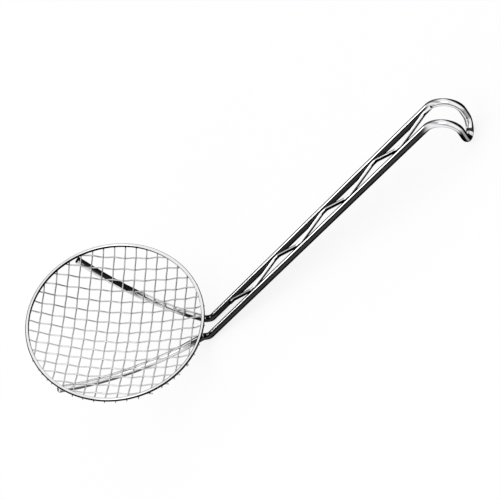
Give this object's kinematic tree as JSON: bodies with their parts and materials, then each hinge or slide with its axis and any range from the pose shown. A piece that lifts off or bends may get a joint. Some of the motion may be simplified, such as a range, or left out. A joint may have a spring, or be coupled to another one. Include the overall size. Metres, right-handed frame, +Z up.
{
  "type": "fryer skimmer",
  "caption": "Wire skimmer with a round dished mesh basket, a long twin-rail handle with a zigzag brace, and a hooked end.",
  "frame": {"origin": "floor under the middle of the whole tool as it lies", "axes": "+X from the basket along the handle to the hook, +Y across, +Z up from the surface that it lies on"},
  "size_m": [0.5489, 0.168, 0.1373],
  "materials": {
    "thick_wire": "bright nickel plate on drawn steel wire",
    "thin_wire": "bright nickel plate on drawn steel wire",
    "mesh_wire": "bright plate on thin woven steel wire"
  },
  "bodies": {
    "root": {"left_leg": "thick_wire", "right_leg": "thick_wire", "left_rail": "thick_wire", "right_rail": "thick_wire", "hook": "thick_wire", "zigzag_brace": "thin_wire", "hoop": "thin_wire", "mesh_long_wire_01": "mesh_wire", "mesh_long_wire_02": "mesh_wire", "mesh_long_wire_03": "mesh_wire", "mesh_long_wire_04": "mesh_wire", "mesh_long_wire_05": "mesh_wire", "mesh_long_wire_06": "mesh_wire", "mesh_long_wire_07": "mesh_wire", "mesh_long_wire_08": "mesh_wire", "mesh_long_wire_09": "mesh_wire", "mesh_long_wire_10": "mesh_wire", "mesh_long_wire_11": "mesh_wire", "mesh_long_wire_12": "mesh_wire", "mesh_long_wire_13": "mesh_wire", "mesh_long_wire_14": "mesh_wire", "mesh_long_wire_15": "mesh_wire", "mesh_cross_wire_01": "mesh_wire", "mesh_cross_wire_02": "mesh_wire", "mesh_cross_wire_03": "mesh_wire", "mesh_cross_wire_04": "mesh_wire", "mesh_cross_wire_05": "mesh_wire", "mesh_cross_wire_06": "mesh_wire", "mesh_cross_wire_07": "mesh_wire", "mesh_cross_wire_08": "mesh_wire", "mesh_cross_wire_09": "mesh_wire", "mesh_cross_wire_10": "mesh_wire", "mesh_cross_wire_11": "mesh_wire", "mesh_cross_wire_12": "mesh_wire", "mesh_cross_wire_13": "mesh_wire", "mesh_cross_wire_14": "mesh_wire", "mesh_cross_wire_15": "mesh_wire"}
  },
  "joints": []
}
